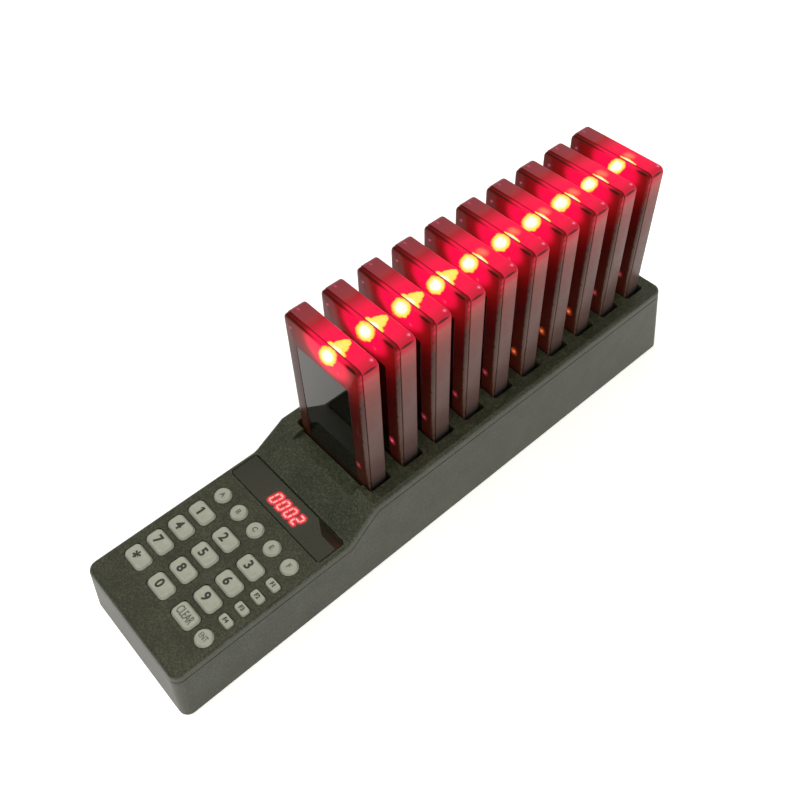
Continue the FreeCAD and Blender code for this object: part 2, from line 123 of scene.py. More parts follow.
def spark_textured_abs():
    """Black-olive ABS out of a spark-eroded mould: a fine even grain that greys its gloss."""
    material, tree, place = new_material("spark_textured_abs")
    # The real grit is 0.1 mm. It is drawn at 0.9 mm so that it shows.
    grit = add(tree, "ShaderNodeTexNoise", {"Vector": place, "Scale": pattern_scale(0.9), "Detail": 3.0})
    cloud = add(tree, "ShaderNodeTexNoise", {"Vector": place, "Scale": pattern_scale(14.0), "Detail": 3.0})
    tone = add(tree, "ShaderNodeMix", {0: 0.22, 6: grit.outputs["Fac"], 7: cloud.outputs["Fac"]},
               data_type="RGBA")
    colour = add(tree, "ShaderNodeValToRGB", {"Fac": tone.outputs[2]},
                 [(0.36, "#1a1d0f"), (0.5, "#2a2d1e"), (0.64, "#3f4232")])
    gloss = add(tree, "ShaderNodeMapRange", {"Value": grit.outputs["Fac"], "From Min": NOISE_LOW,
                                             "From Max": NOISE_HIGH, "To Min": 0.36, "To Max": 0.46})
    relief = add(tree, "ShaderNodeBump", {"Height": grit.outputs["Fac"], "Distance": 0.10 * MM})
    surface(tree, {"Base Color": colour.outputs["Color"], "Roughness": gloss.outputs["Result"],
                   "Normal": relief.outputs["Normal"], "IOR": 1.54})
    return material


def smoked_acrylic():
    """Smoked acrylic sheet, polished: nearly black, and it mirrors what stands over it."""
    material, tree, place = new_material("smoked_acrylic")
    haze, colour = mottle(tree, place, 4.0, 3.0, "#484a34", "#50523b")
    gloss = add(tree, "ShaderNodeMapRange", {"Value": haze, "From Min": NOISE_LOW, "From Max": NOISE_HIGH,
                                             "To Min": 0.01, "To Max": 0.03})
    surface(tree, {"Base Color": colour, "Roughness": gloss.outputs["Result"], "IOR": 1.53,
                   "Transmission Weight": 0.90})
    return material


def coated_silicone():
    """Pale grey coated silicone rubber, moulded: satin, a little mottled by wear."""
    material, tree, place = new_material("coated_silicone")
    cloud, colour = mottle(tree, place, 3.0, 3.0, "#959688", "#9c9d8f")
    grit = add(tree, "ShaderNodeTexNoise", {"Vector": place, "Scale": pattern_scale(0.4), "Detail": 2.0})
    gloss = add(tree, "ShaderNodeMapRange", {"Value": cloud, "From Min": NOISE_LOW, "From Max": NOISE_HIGH,
                                             "To Min": 0.20, "To Max": 0.28})
    relief = add(tree, "ShaderNodeBump", {"Height": grit.outputs["Fac"], "Distance": 0.015 * MM})
    surface(tree, {"Base Color": colour, "Roughness": gloss.outputs["Result"],
                   "Normal": relief.outputs["Normal"], "IOR": 1.43})
    return material


def pad_printed_ink(name, dark, light):
    """Pad-printed ink, matt, thin enough to look a little uneven."""
    material, tree, place = new_material(name)
    colour = mottle(tree, place, 0.6, 2.0, dark, light)[1]
    surface(tree, {"Base Color": colour, "Roughness": 0.6})
    return material


# The lamp in each pager sits behind the front shell, a little right of the middle, and shines out
# towards the front right. Places are on the pager: X across, Y backwards from its front, Z up.
BEAM = Vector((0.526, -0.500, 0.687))
BEAM_TURN = BEAM.to_track_quat("Z", "Y").to_euler()
STRAIGHT = (0.0, 0.0, 0.0)
PAGER_TALL_MM = 110.0

# Each glow is its centre and its reach on each axis in mm, then its colours against how far away a
# point is, where 1 stands for GLOW_SPAN reaches.
GLOW_SPAN = 10.0
FRONT_GLOW = ((5.0, 4.0, 105.0), (19.0, 30.0, 13.0), [
    (0.0, "#ff0e48"), (0.060, "#ff0e48"), (0.072, "#f41040"), (0.080, "#e01034"), (0.090, "#ac0c1e"),
    (0.098, "#8c0a12"), (0.114, "#7a070b"), (0.136, "#620405"), (0.183, "#420203"), (0.287, "#280202"),
    (1.0, "#1c0101")])
REAR_GLOW = ((9.0, 5.0, 108.0), (21.0, 30.0, 9.0), [
    (0.0, "#ff1048"), (0.052, "#ff1048"), (0.064, "#f61644"), (0.082, "#d01c38"), (0.099, "#ac1828"),
    (0.118, "#951620"), (0.142, "#8a1519"), (0.158, "#86131a"), (0.170, "#76100f"), (0.220, "#690808"),
    (0.320, "#590504"), (0.490, "#430303"), (0.650, "#3c0303"), (0.900, "#280202")])
SEAM_GLOW = ((5.0, 4.0, 110.0), (20.0, 30.0, 14.0), [
    (0.0, "#a01028"), (0.08, "#5c0a12"), (0.2, "#1c0304"), (1.0, "#0a0101")])

# Bright spots, painted glints and sheen, and painted shade: centre, reach, turn, and colours from the centre
# outwards.
HOT = [(0.0, "#fffffc"), (0.42, "#fffff4"), (0.54, "#fffbc0"), (0.66, "#fff278"), (0.83, "#ffe24c"),
       (0.90, "#ff9a38"), (0.97, "#ff2c46"), (1.0, "#000000")]
PALE_TO_YELLOW = [(0.0, "#fffff0"), (0.34, "#fffde0"), (0.52, "#fff68c"), (0.82, "#ffe750"),
                  (0.90, "#ff9236"), (0.97, "#ff2c46"), (1.0, "#000000")]
YELLOW = [(0.0, "#fff37c"), (0.80, "#ffe450"), (0.89, "#ff8a36"), (0.97, "#ff2c46"), (1.0, "#000000")]
SALMON = [(0.0, "#ff8460"), (0.45, "#ff6a56"), (0.75, "#ff3c4c"), (1.0, "#000000")]
EDGE_LIGHT = [(0.0, "#fb1448"), (0.40, "#ee1644"), (0.48, "#c01a32"), (0.58, "#98141f"), (0.70, "#7c0c12"),
              (0.90, "#640707"), (1.0, "#000000")]
# Painted sheen: a pale band of light down the right edge of the front shell's side
EDGE_SHEEN = [(0.0, "#50403a"), (0.75, "#44332c"), (1.0, "#000000")]
# Painted glints: small pink and pale spots of light on the shells' corners and front
GLINT = [(0.0, "#d05074"), (0.5, "#9a2844"), (1.0, "#000000")]
PALE_GLINT = [(0.0, "#ff9ab0"), (0.5, "#f04a70"), (1.0, "#000000")]
DIM = [(0.0, "#b45458"), (0.25, "#8c2c34"), (0.6, "#440c10"), (1.0, "#000000")]
BRIGHT = [(0.0, "#f08c98"), (0.25, "#c84058"), (0.5, "#7c1828"), (1.0, "#000000")]
AMBER = [(0.0, "#e8a060"), (0.25, "#cc6030"), (0.5, "#7c2814"), (1.0, "#000000")]
# What the indicator shows, and how far the bright spot reaches, which is less on the far pagers
LAMP_LOOKS = {"near": (DIM, 5.2), "marked": (BRIGHT, 5.3), "middle": (DIM, 4.9), "amber": (AMBER, 4.8),
              "far": (DIM, 4.2)}
# Painted shade, which darkens the glow along edges and corners
EDGE_SHADE = [(0.0, "#848484"), (0.5, "#949494"), (1.0, "#ffffff")]
DEEP_SHADE = [(0.0, "#6c6c6c"), (0.6, "#7c7c7c"), (1.0, "#ffffff")]
# No light comes out of the foot.
SUNK = ((0.0, 6.0, 0.0), (200.0, 200.0, 27.0), STRAIGHT,
        [(0.0, "#000000"), (0.8, "#202020"), (1.0, "#ffffff")])
# Front shell: the lamp's light at the right edge, a painted sheen down that edge and two painted glints
FRONT_FLARES = [((28.5, 1.5, 107.0), (3.0, 6.0, 20.0), STRAIGHT, EDGE_LIGHT),
                ((27.4, 1.7, 60.0), (1.8, 2.0, 46.0), STRAIGHT, EDGE_SHEEN),
                ((-22.0, 0.0, 103.0), (1.3, 1.5, 1.3), STRAIGHT, GLINT),
                ((12.6, 0.0, 99.0), (1.5, 1.5, 1.5), STRAIGHT, GLINT)]
HOT_PLACE = (5.9, 0.0, 105.5)
INDICATOR = ((21.5, 0.0, 37.0), (3.2, 2.4, 3.8), STRAIGHT)
# Painted shade on the front shell: no light at the foot, a dark band along the left of the top edge and a
# dark wedge at its right end
FRONT_SHADES = [SUNK, ((-14.5, 0.35, 109.35), (15.0, 0.9, 0.75), STRAIGHT, EDGE_SHADE),
                 ((22.2, 0.5, 109.3), (5.0, 0.9, 0.9), STRAIGHT, DEEP_SHADE)]
NEAR_REAR_FLARES = [((8.8, 3.6, 110.0), (6.9, 2.1, 3.0), STRAIGHT, PALE_TO_YELLOW),
                    ((8.9, 5.6, 110.0), (4.6, 4.2, 3.0), STRAIGHT, YELLOW),
                    ((8.6, 8.6, 110.0), (2.9, 3.0, 3.0), STRAIGHT, YELLOW)]
FAR_REAR_FLARES = [((10.2, 3.3, 110.0), (6.0, 1.4, 3.0), STRAIGHT, PALE_TO_YELLOW),
                   ((8.0, 7.0, 110.0), (4.6, 4.0, 3.0), STRAIGHT, SALMON)]
# Painted pale light over the left end of the top, which greys its red.
GREY_TOP_LIGHT = ((-22.0, 6.4, 110.0), (14.0, 14.0, 3.0), STRAIGHT,
         [(0.0, "#00363c"), (0.6, "#00343a"), (1.0, "#000000")])
# Painted light on the rear case's top: the greying light and two painted glints
REAR_PAINTED_LIGHTS = [GREY_TOP_LIGHT, ((-23.3, 6.4, 110.0), (2.6, 1.4, 2.0), STRAIGHT, GLINT),
               ((24.4, 10.6, 110.0), (1.6, 1.1, 1.2), STRAIGHT, PALE_GLINT)]
# Painted shade on the rear case: no light at the foot and a dark streak along the top right corner
REAR_SHADES = [SUNK, ((27.2, 7.0, 107.9), (0.9, 5.0, 0.9), STRAIGHT, DEEP_SHADE)]
# The rear case's base colour by height, with painted light on the sides where they mirror the dark dock, and
# darker at the very top
SATIN_WALL_AND_LIGHT = [(0.0, "#3c3833"), (0.40, "#4c4844"), (0.93, "#48423e"), (0.962, "#1c0f0d"), (1.0, "#160a09")]
GLOSSY_WALL = [(0.0, "#2a1b10"), (0.45, "#2a1a12"), (0.7, "#1c0c0a"), (1.0, "#1c0c0a")]
BEAM_REACH_MM = 90.0
WANDER_MM = 1.8
GLOSS_SPREAD = 0.05


def smoked_polycarbonate(name, glow, flares, painted_shades, wall, shine, roughness):
    """Smoked red polycarbonate, injection moulded: it glows where the lamp is behind it.

    Painted shade darkens its glow in places, and flares lighten it: the lamp's light, painted glints and a
    painted sheen. wall is its base colour from foot to top; on the rear case light is painted into it on the
    sides, where they mirror the dark dock."""
    material, tree, place = new_material(name)
    haze = mottle(tree, place, 12.0, 2.0, "#e2e2e2", "#ffffff")[1]
    flow = add(tree, "ShaderNodeTexNoise", {"Vector": place, "Scale": pattern_scale(2.4), "Detail": 2.0})
    # A spot's edge wanders by about half a millimetre, as light does behind a moulded wall.
    drift = add(tree, "ShaderNodeVectorMath", {0: flow.outputs["Color"], 1: (0.5, 0.5, 0.5)},
                operation="SUBTRACT")
    wander = add(tree, "ShaderNodeVectorMath", {0: drift.outputs[0], 1: [WANDER_MM * MM] * 3, 2: place},
                 operation="MULTIPLY_ADD")

    def reach(vector, centre_mm, reach_mm, turn):
        """How far a point is from a place, counted in the reach on each axis."""
        moved = add(tree, "ShaderNodeMapping",
                    {"Vector": vector, "Location": [c * MM for c in centre_mm], "Rotation": turn,
                     "Scale": [r * MM for r in reach_mm]}, vector_type="TEXTURE")
        return add(tree, "ShaderNodeVectorMath", {0: moved.outputs[0]}, operation="LENGTH").outputs["Value"]

    centre_mm, reach_mm, stops = glow
    far = add(tree, "ShaderNodeMath", {0: reach(place, centre_mm, reach_mm, STRAIGHT), 1: GLOW_SPAN},
              operation="DIVIDE")
    light = add(tree, "ShaderNodeValToRGB", {"Fac": far.outputs[0]}, stops).outputs["Color"]
    # Painted shade darkens the glow
    for centre_mm, reach_mm, turn, stops in painted_shades:
        shade = add(tree, "ShaderNodeValToRGB", {"Fac": reach(place, centre_mm, reach_mm, turn)}, stops)
        light = add(tree, "ShaderNodeMix", {0: 1.0, 6: light, 7: shade.outputs["Color"]},
                    data_type="RGBA", blend_type="MULTIPLY").outputs[2]
    for centre_mm, reach_mm, turn, stops in flares:
        near = reach(wander.outputs[0], centre_mm, reach_mm, turn)
        flare = add(tree, "ShaderNodeValToRGB", {"Fac": near}, stops)
        light = add(tree, "ShaderNodeMix", {0: 1.0, 6: light, 7: flare.outputs["Color"]},
                    data_type="RGBA", blend_type="LIGHTEN").outputs[2]
    height = add(tree, "ShaderNodeSeparateXYZ", {"Vector": place})
    share = add(tree, "ShaderNodeMath", {0: height.outputs["Z"], 1: PAGER_TALL_MM * MM}, operation="DIVIDE")
    tone = add(tree, "ShaderNodeValToRGB", {"Fac": share.outputs[0]}, wall)
    colour = add(tree, "ShaderNodeMix", {0: 1.0, 6: tone.outputs["Color"], 7: haze}, data_type="RGBA",
                 blend_type="MULTIPLY")
    gloss = add(tree, "ShaderNodeMapRange", {
        "Value": flow.outputs["Fac"], "From Min": NOISE_LOW, "From Max": NOISE_HIGH,
        "To Min": roughness - GLOSS_SPREAD, "To Max": roughness + GLOSS_SPREAD})
    relief = add(tree, "ShaderNodeBump", {"Height": flow.outputs["Fac"], "Distance": 0.01 * MM})
    surface(tree, {"Base Color": colour.outputs[2], "Roughness": gloss.outputs["Result"],
                   "Normal": relief.outputs["Normal"], "IOR": 1.58, "Specular IOR Level": shine,
                   "Emission Color": light, "Emission Strength": 1.0})
    return material


def polished_film():
    """Black polyester film under the front face, polished: it mirrors the counter."""
    material, tree, place = new_material("polished_polyester_film")
    cloud, colour = mottle(tree, place, 8.0, 3.0, "#040301", "#080603")
    gloss = add(tree, "ShaderNodeMapRange", {"Value": cloud, "From Min": NOISE_LOW, "From Max": NOISE_HIGH,
                                             "To Min": 0.03, "To Max": 0.06})
    surface(tree, {"Base Color": colour, "Roughness": gloss.outputs["Result"], "IOR": 1.47})
    return material


def soft_rubber(name, dark, light):
    """Moulded rubber, matt, with a fine tooth."""
    material, tree, place = new_material(name)
    colour = mottle(tree, place, 5.0, 3.0, dark, light)[1]
    tooth = add(tree, "ShaderNodeTexNoise", {"Vector": place, "Scale": pattern_scale(0.6), "Detail": 2.0})
    relief = add(tree, "ShaderNodeBump", {"Height": tooth.outputs["Fac"], "Distance": 0.05 * MM})
    surface(tree, {"Base Color": colour, "Normal": relief.outputs["Normal"], "Roughness": 0.75})
    return material


def plated_metal(name, dark, light, roughness):
    """Thin bright plating, its gloss a little uneven from handling."""
    material, tree, place = new_material(name)
    cloud, colour = mottle(tree, place, 1.5, 3.0, dark, light)
    gloss = add(tree, "ShaderNodeMapRange", {
        "Value": cloud, "From Min": NOISE_LOW, "From Max": NOISE_HIGH,
        "To Min": roughness - GLOSS_SPREAD, "To Max": roughness + 2 * GLOSS_SPREAD})
    surface(tree, {"Base Color": colour, "Roughness": gloss.outputs["Result"], "Metallic": 1.0})
    return material


def solder_masked_board():
    """Glass-epoxy circuit board under green solder mask: copper runs show as paler bands."""
    material, tree, place = new_material("solder_masked_board")
    runs = add(tree, "ShaderNodeTexBrick", {
        "Vector": place, "Scale": pattern_scale(6.0), "Mortar Size": 0.06, "Brick Width": 1.0,
        "Row Height": 0.35, "Color1": linear("#0f4a2a"), "Color2": linear("#124f2e"),
        "Mortar": linear("#2a7a48")})
    relief = add(tree, "ShaderNodeBump", {"Height": runs.outputs["Fac"], "Distance": 0.03 * MM})
    surface(tree, {"Base Color": runs.outputs["Color"], "Normal": relief.outputs["Normal"], "Roughness": 0.3})
    return material


def display_epoxy():
    """Black epoxy face of the display module, lit red close to the bars."""
    material, tree, place = new_material("display_epoxy")
    colour = mottle(tree, place, 1.0, 2.0, "#0c0706", "#140b0a")[1]
    near_bars = add(tree, "ShaderNodeAttribute", attribute_name="glow")
    halo = add(tree, "ShaderNodeValToRGB", {"Fac": near_bars.outputs["Fac"]},
               [(0.0, "#000000"), (0.2, "#2a010a"), (0.4, "#a0062e"), (0.6, "#f01050"), (1.0, "#ff2868")])
    surface(tree, {"Base Color": colour, "Roughness": 0.4, "Emission Color": halo.outputs["Color"],
                   "Emission Strength": 18.0})
    return material


def lit_segment():
    """Diffused red light bar of a digit, so bright that it shows nearly white."""
    material, tree, place = new_material("lit_display_segment")
    light = mottle(tree, place, 1.5, 2.0, "#ff6a98", "#ff9cbc")[1]
    surface(tree, {"Base Color": linear("#301010"), "Emission Color": light, "Emission Strength": 32.0})
    return material


HOUSING = spark_textured_abs()
ACRYLIC = smoked_acrylic()
SILICONE = coated_silicone()
INK = pad_printed_ink("dark_pad_ink", "#24241f", "#3a3a34")
PALE_INK = pad_printed_ink("thin_pad_ink", "#4a4a44", "#5e5e57")
FRONT_SHELLS = {}
for kind, (ember, spot_mm) in LAMP_LOOKS.items():
    spot = (HOT_PLACE, (spot_mm, spot_mm, BEAM_REACH_MM), BEAM_TURN, HOT)
    flares = FRONT_FLARES + [spot, INDICATOR + (ember,)]
    FRONT_SHELLS[kind] = smoked_polycarbonate("glossy_polycarbonate_" + kind, FRONT_GLOW, flares,
                                              FRONT_SHADES, GLOSSY_WALL, 0.08, 0.20)
REAR_CASES = {}
for kind, flares in (("near", NEAR_REAR_FLARES), ("far", FAR_REAR_FLARES)):
    REAR_CASES[kind] = smoked_polycarbonate("satin_polycarbonate_" + kind, REAR_GLOW,
                                            flares + REAR_PAINTED_LIGHTS, REAR_SHADES, SATIN_WALL_AND_LIGHT, 0.15, 0.35)
SEAM = smoked_polycarbonate("shaded_polycarbonate", SEAM_GLOW, [], [], GLOSSY_WALL, 0.20, 0.30)
FILM = polished_film()
FOOT_RUBBER = soft_rubber("foot_rubber", "#141414", "#1e1e1d")
MAT_RUBBER = soft_rubber("mat_silicone", "#6f7068", "#7b7c74")
ZINC = plated_metal("zinc_plated_steel", "#a3a5a6", "#bcbebf", 0.3)
GOLD = plated_metal("gold_plated_brass", "#c79a48", "#e0b765", 0.22)
BOARD = solder_masked_board()
DISPLAY_FACE = display_epoxy()
SEGMENT = lit_segment()


# Mesh helpers

SHARP_EDGE = math.radians(38)
TOUCH_MM = 0.01


def finish_mesh(name, mesh_data, material):
    """The finished mesh, smooth but for its sharp edges."""
    mesh = bpy.data.meshes.new(name)
    bmesh.ops.recalc_face_normals(mesh_data, faces=mesh_data.faces)
    mesh_data.to_mesh(mesh)
    mesh_data.free()
    mesh.shade_smooth()
    mesh.set_sharp_from_angle(angle=SHARP_EDGE)
    mesh.materials.append(material)
    return mesh


def shade_seam(mesh):
    """Gives the faces down in the seam their own material, as little of the lamp's light comes out there."""
    mesh.materials.append(SEAM)
    for face in mesh.polygons:
        depths = [mesh.vertices[v].co.y / MM for v in face.vertices]
        if min(depths) > FRONT_MM - GROOVE_MM - TOUCH_MM and max(depths) < FRONT_MM + TOUCH_MM:
            face.material_index = 1
    return mesh


def place_piece(name, mesh, body, replaced=None, place=(0.0, 0.0, 0.0)):
    """Puts a mesh in the scene at a place on its body, and hides the node that it stands for."""
    piece = bpy.data.objects.new(name, mesh)
    bpy.context.scene.collection.objects.link(piece)
    piece.location = place
    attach(piece, body)
    if replaced:
        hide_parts(replaced)
    return piece


def rounded_outline(half_a, half_b, radius, steps):
    """Points round a rectangle with round corners, anticlockwise."""
    radius = min(radius, half_a, half_b)
    points = []
    for quarter, (sign_a, sign_b) in enumerate(((1, 1), (-1, 1), (-1, -1), (1, -1))):
        for step in range(steps + 1):
            turn = math.pi / 2 * (quarter + step / steps)
            points.append((sign_a * (half_a - radius) + radius * math.cos(turn),
                           sign_b * (half_b - radius) + radius * math.sin(turn)))
    return points


def loft(mesh_data, rings, cap_start=True):
    """Skins the rings, which all have the same count of points, and closes the ends."""
    rows = [[mesh_data.verts.new(p) for p in ring] for ring in rings]
    for low, high in zip(rows, rows[1:]):
        for i in range(len(low)):
            j = (i + 1) % len(low)
            mesh_data.faces.new((low[i], low[j], high[j], high[i]))
    if cap_start:
        mesh_data.faces.new(rows[0][::-1])
    mesh_data.faces.new(rows[-1])
    return rows


def block(mesh_data, low, high):
    """A plain box between two corners, for stems and lugs that stay out of sight."""
    (x0, y0, z0), (x1, y1, z1) = low, high
    ring = [(x0, y0), (x1, y0), (x1, y1), (x0, y1)]
    loft(mesh_data, [[(x, y, z0) for x, y in ring], [(x, y, z1) for x, y in ring]])


# Keys

CAP_EDGE_MM = 0.9
CAP_DRAFT_MM = 0.45
DECK_TOP_MM = 35.4
CAP_DISH_MM = 0.34
DISH_SHARES = (0.15, 0.35, 0.6, 0.98)
CAP_TOP_STEPS = 4
CORNER_STEPS = 6
LEAST_CORNER_MM = 0.05
KEY_CORNER_MM = {"main": 2.9, "function": 1.7}
ROUND_KEYS = ("a", "b", "c", "e", "f", "enter")
FUNCTION_KEYS = ("f1", "f2", "f3", "f4")
FUNCTION_SHARE = 0.65
LUG_MM = 0.7
LUG_SHARE = 0.7
STEM_SIDE_MM = 3.6
STEM_MM = 2.4
LUG_HEIGHT_MM = 1.0


def key_kind(name):
    """Which of the three forms of cap a key has."""
    return "round" if name in ROUND_KEYS else "function" if name in FUNCTION_KEYS else "main"


def key_cap(name):
    """A keycap with a rolled top edge and a dished top, its lugs and its stem.

    Gives back its centre and the height of its top at a place."""
    low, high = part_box("key_" + name)
    kind = key_kind(name)
    centre = (low + high) / 2
    half_x = (high.x - low.x) / 2
    half_y = (high.y - low.y) / 2 - LUG_MM * MM
    if kind == "round":
        half_x = half_y
    radius = half_x if kind == "round" else KEY_CORNER_MM[kind] * MM
    size = FUNCTION_SHARE if kind == "function" else 1.0
    edge = CAP_EDGE_MM * MM * size
    draft = CAP_DRAFT_MM * MM * size
    skirt = low.z + STEM_MM * MM
    top = high.z
    profile = [(0.0, skirt), (0.0, DECK_TOP_MM * MM)]
    for step in range(CAP_TOP_STEPS + 1):
        turn = math.pi / 2 * step / CAP_TOP_STEPS
        profile.append((draft + edge * (1 - math.cos(turn)), top - edge * (1 - math.sin(turn))))
    small = min(half_x, half_y)
    rim = draft + edge
    dish = CAP_DISH_MM * MM * size
    for share in DISH_SHARES:
        profile.append((rim + (small - rim) * share, top - dish * (1 - (1 - share) ** 2)))
    steps = CORNER_STEPS if kind != "round" else 2 * CORNER_STEPS
    rings = []
    for inset, z in profile:
        ring = rounded_outline(half_x - inset, half_y - inset, max(radius - inset, LEAST_CORNER_MM * MM),
                               steps)
        rings.append([(x + centre.x, y + centre.y, z) for x, y in ring])
    mesh_data = bmesh.new()
    loft(mesh_data, rings)
    lug_x = half_x * LUG_SHARE
    lug_y = half_y + LUG_MM * MM
    block(mesh_data, (centre.x - lug_x, centre.y - lug_y, skirt),
          (centre.x + lug_x, centre.y + lug_y, skirt + LUG_HEIGHT_MM * MM))
    stem = STEM_SIDE_MM * MM / 2
    block(mesh_data, (centre.x - stem, centre.y - stem, low.z),
          (centre.x + stem, centre.y + stem, skirt))
    mesh = finish_mesh("cap_" + name, mesh_data, SILICONE)
    place_piece("cap_" + name, mesh, "key_" + name, "key_" + name)

    def height_at(x, y):
        """The height of the cap's top at a place."""
        share = (min(half_x - abs(x - centre.x), half_y - abs(y - centre.y)) - rim) / (small - rim)
        return top - dish * (1 - (1 - max(0.0, min(1.0, share))) ** 2)

    return centre, height_at


LEGENDS = {
    "star": "*", "clear": "CLEAR", "enter": "ENT", **{n: n for n in "0123456789"},
    **{n: n.upper() for n in ("a", "b", "c", "e", "f") + FUNCTION_KEYS}}
# Height of the capitals in mm, width against normal letters, and stroke thickening in mm
LEGEND_LOOK = {"digit": (4.9, 1.0, 0.24), "star": (6.6, 1.0, 0.24), "clear": (4.4, 0.58, 0.06),
               "enter": (3.0, 0.66, 0.06), "letter": (2.7, 1.0, 0.10), "function": (2.2, 0.95, 0.11)}
CAPITAL_SHARE = 0.69
LEGEND_LIFT_MM = 0.05
LEGEND_CURVE_STEPS = 4
DIGIT_SHIFT_MM = -1.3
# How far the flag of the numeral 1 reaches out, how far it drops, and how thick it is
FLAG_MM = (1.1, 1.1, 0.8)


def with_flag(mesh):
    """The numeral 1 with a slanting flag at its head."""
    mesh_data = bmesh.new()
    mesh_data.from_mesh(mesh)
    left = min(v.co.x for v in mesh.vertices)
    head = max(v.co.y for v in mesh.vertices)
    reach, drop, stroke = [length * MM for length in FLAG_MM]
    flag = [(left - reach, head - drop - stroke), (left, head - stroke), (left, head),
            (left - reach, head - drop)]
    lift = LEGEND_LIFT_MM * MM
    loft(mesh_data, [[(x, y, z) for x, y in flag] for z in (-lift, lift)])
    mesh_data.to_mesh(mesh)
    mesh_data.free()
    return mesh


def legend_kind(name):
    """Which size of print a key has."""
    if name.isdigit():
        return "digit"
    if name in FUNCTION_KEYS:
        return "function"
    return name if name in LEGEND_LOOK else "letter"


def legend(name, centre, height_at):
    """The key's printed mark, laid on the dished top of its cap."""
    kind = legend_kind(name)
    height, width, stroke = LEGEND_LOOK[kind]
    text = bpy.data.curves.new("legend_" + name, "FONT")
    text.body = LEGENDS[name]
    text.size = height * MM / CAPITAL_SHARE
    text.align_x = "CENTER"
    text.align_y = "CENTER"
    text.offset = stroke * MM
    text.extrude = LEGEND_LIFT_MM * MM
    text.resolution_u = LEGEND_CURVE_STEPS
    written = bpy.data.objects.new("legend_" + name, text)
    mesh = bpy.data.meshes.new_from_object(written)
    bpy.data.objects.remove(written)
    mesh.transform(Matrix.Diagonal((width, 1.0, 1.0, 1.0)))
    if name == "1":
        mesh = with_flag(mesh)
    low_y = min(v.co.y for v in mesh.vertices)
    high_y = max(v.co.y for v in mesh.vertices)
    low_x = min(v.co.x for v in mesh.vertices)
    high_x = max(v.co.x for v in mesh.vertices)
    shift = DIGIT_SHIFT_MM * MM if kind in ("digit", "star") else 0.0
    mesh.transform(Matrix.Translation((centre.x + shift - (low_x + high_x) / 2,
                                       centre.y - (low_y + high_y) / 2, 0.0)))
    for vertex in mesh.vertices:
        vertex.co.z += height_at(vertex.co.x, vertex.co.y)
    mesh.materials.clear()
    mesh.materials.append(PALE_INK if kind in ("letter", "clear", "enter") else INK)
    place_piece("legend_" + name, mesh, "key_" + name)


for key_name in LEGENDS:
    legend(key_name, *key_cap(key_name))


# Pagers, made at the origin: X across, Y from the front face backwards, Z up from the foot

PAGER_COUNT = 10
PAGER_MM = (55.0, 12.8, PAGER_TALL_MM)
PAGER_CORNER_MM = 3.5
PAGER_LEAST_CORNER_MM = 0.6
FRONT_MM = 3.0
SEAM_STEP_MM = 0.3
FRONT_EDGE_MM = 1.7
BACK_EDGE_MM = 1.1
REAR_LIP_MM = 0.25
GROOVE_MM = 0.45
GROOVE_DEPTH_MM = 0.6
# The label's width, and the heights of its lower and its upper edge
LABEL_MM = (39.0, 22.0, 92.5)
LABEL_CORNER_MM = 1.2
LABEL_RECESS_MM = 0.3
LABEL_DRAFT_MM = 0.05
FILM_MM = 0.18
FILM_GAP_MM = 0.25
FILM_CORNER_MM = 1.0
FILM_BEVEL_MM = 0.04
ROLL_STEPS = 4
PAGER_CORNER_STEPS = 7
LAST_NEAR_PAGER = 4
LOOK_OF = {1: "near", 2: "marked", 3: "near", 6: "amber", 7: "amber", 8: "amber", 9: "far", 10: "far"}


def pager_ring(inset_mm, y_mm):
    """The pager's outline, drawn in by an inset, at a depth behind its front face."""
    half_x = PAGER_MM[0] / 2 - inset_mm
    half_z = PAGER_MM[2] / 2 - inset_mm
    corner = max(PAGER_CORNER_MM - inset_mm, PAGER_LEAST_CORNER_MM)
    ring = rounded_outline(half_x, half_z, corner, PAGER_CORNER_STEPS)
    return [(x * MM, y_mm * MM, (z + PAGER_MM[2] / 2) * MM) for x, z in ring[::-1]]


def label_ring(shrink_mm, depth_mm, corner_mm):
    """The label's outline, drawn in by a gap, at a depth behind the front face."""
    half = LABEL_MM[0] / 2
    middle = (LABEL_MM[1] + LABEL_MM[2]) / 2
    tall = (LABEL_MM[2] - LABEL_MM[1]) / 2
    ring = rounded_outline(half - shrink_mm, tall - shrink_mm, corner_mm, PAGER_CORNER_STEPS)
    return [(x * MM, depth_mm * MM, (z + middle) * MM) for x, z in ring]


def rolled(start_inset, start_y, size, into):
    """Insets and depths round an edge, from the flat into the side, or back out when into is -1."""
    steps = []
    for step in range(ROLL_STEPS + 1):
        turn = math.pi / 2 * step / ROLL_STEPS
        steps.append((start_inset + size * (1 - math.sin(turn)),
                      start_y + into * size * (1 - math.cos(turn))))
    return steps if into > 0 else steps[::-1]


def pager_front_mesh():
    """The front shell: a rolled edge, the label's recess, and a lip down into the seam."""
    mesh_data = bmesh.new()
    profile = rolled(SEAM_STEP_MM, 0.0, FRONT_EDGE_MM, 1)
    groove_y = FRONT_MM - GROOVE_MM
    profile += [(SEAM_STEP_MM, groove_y), (SEAM_STEP_MM + GROOVE_DEPTH_MM, groove_y)]
    rows = loft(mesh_data, [pager_ring(i, y) for i, y in profile], cap_start=False)
    # Front face with the label's recess let into it
    rim = [mesh_data.verts.new(p) for p in label_ring(0.0, 0.0, LABEL_CORNER_MM)[::-1]]
    foot = [mesh_data.verts.new(p)
            for p in label_ring(LABEL_DRAFT_MM, LABEL_RECESS_MM, LABEL_CORNER_MM)[::-1]]
    outer = rows[0]
    for row_a, row_b in ((outer, rim), (rim, foot)):
        for i in range(len(row_a)):
            j = (i + 1) % len(row_a)
            mesh_data.faces.new((row_a[j], row_a[i], row_b[i], row_b[j]))
    mesh_data.faces.new(foot[::-1])
    return mesh_data


